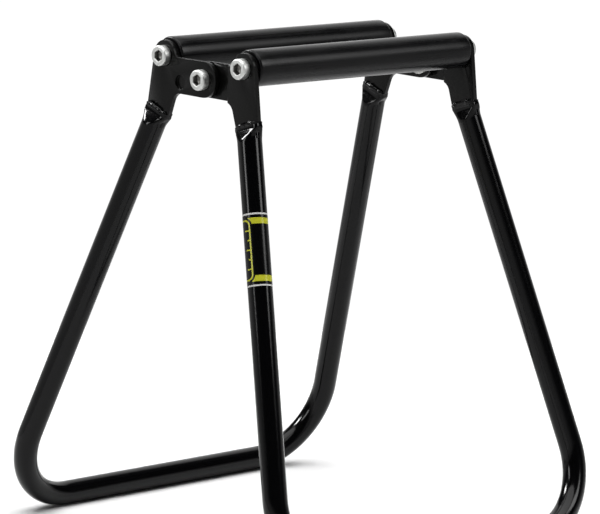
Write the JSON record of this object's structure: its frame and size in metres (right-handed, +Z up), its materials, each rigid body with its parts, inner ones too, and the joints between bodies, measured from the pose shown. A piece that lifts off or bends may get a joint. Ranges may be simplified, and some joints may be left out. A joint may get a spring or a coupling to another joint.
{
  "type": "bike repair stand",
  "caption": "Low folding floor stand: bent steel tube frames hinged under sleeved bars that cradle a bicycle's bottom bracket.",
  "frame": {"origin": "on the floor, under the middle of the stand", "axes": "+X along the two bars, towards the end where the rear frame's arm is the inner one; +Y towards the rear frame, across the bars; +Z up"},
  "size_m": [0.3474, 0.3404, 0.3946],
  "materials": {
    "painted_steel": "gloss",
    "sleeve": "satin",
    "plain_steel": "plain",
    "zinc_bolt": "zinc plated",
    "washer": "natural"
  },
  "bodies": {
    "rear_frame": {"rear_leg_tube": "painted_steel", "rear_end_plate_left": "painted_steel", "rear_end_plate_right": "painted_steel", "rear_bar_core": "plain_steel", "rear_bar_plug_left": "plain_steel", "rear_bar_plug_right": "plain_steel", "rear_bar_sleeve": "sleeve", "rear_bar_bolt_left": "zinc_bolt", "rear_bar_bolt_right": "zinc_bolt", "hinge_bolt_left": "zinc_bolt", "hinge_bolt_right": "zinc_bolt", "hinge_nut_left": "zinc_bolt", "hinge_nut_right": "zinc_bolt", "hinge_washer_left": "washer", "hinge_washer_right": "washer"},
    "front_frame": {"front_leg_tube": "painted_steel", "front_end_plate_left": "painted_steel", "front_end_plate_right": "painted_steel", "front_bar_core": "plain_steel", "front_bar_plug_left": "plain_steel", "front_bar_plug_right": "plain_steel", "front_bar_sleeve": "sleeve", "front_bar_bolt_left": "zinc_bolt", "front_bar_bolt_right": "zinc_bolt"}
  },
  "joints": [
    {"name": "frame_hinge", "type": "hinge", "parent": "rear_frame", "child": "front_frame", "pos_m": [0, 0, 0.3669], "axis": [1, 0, 0], "range_deg": [0, 45.4]}
  ]
}
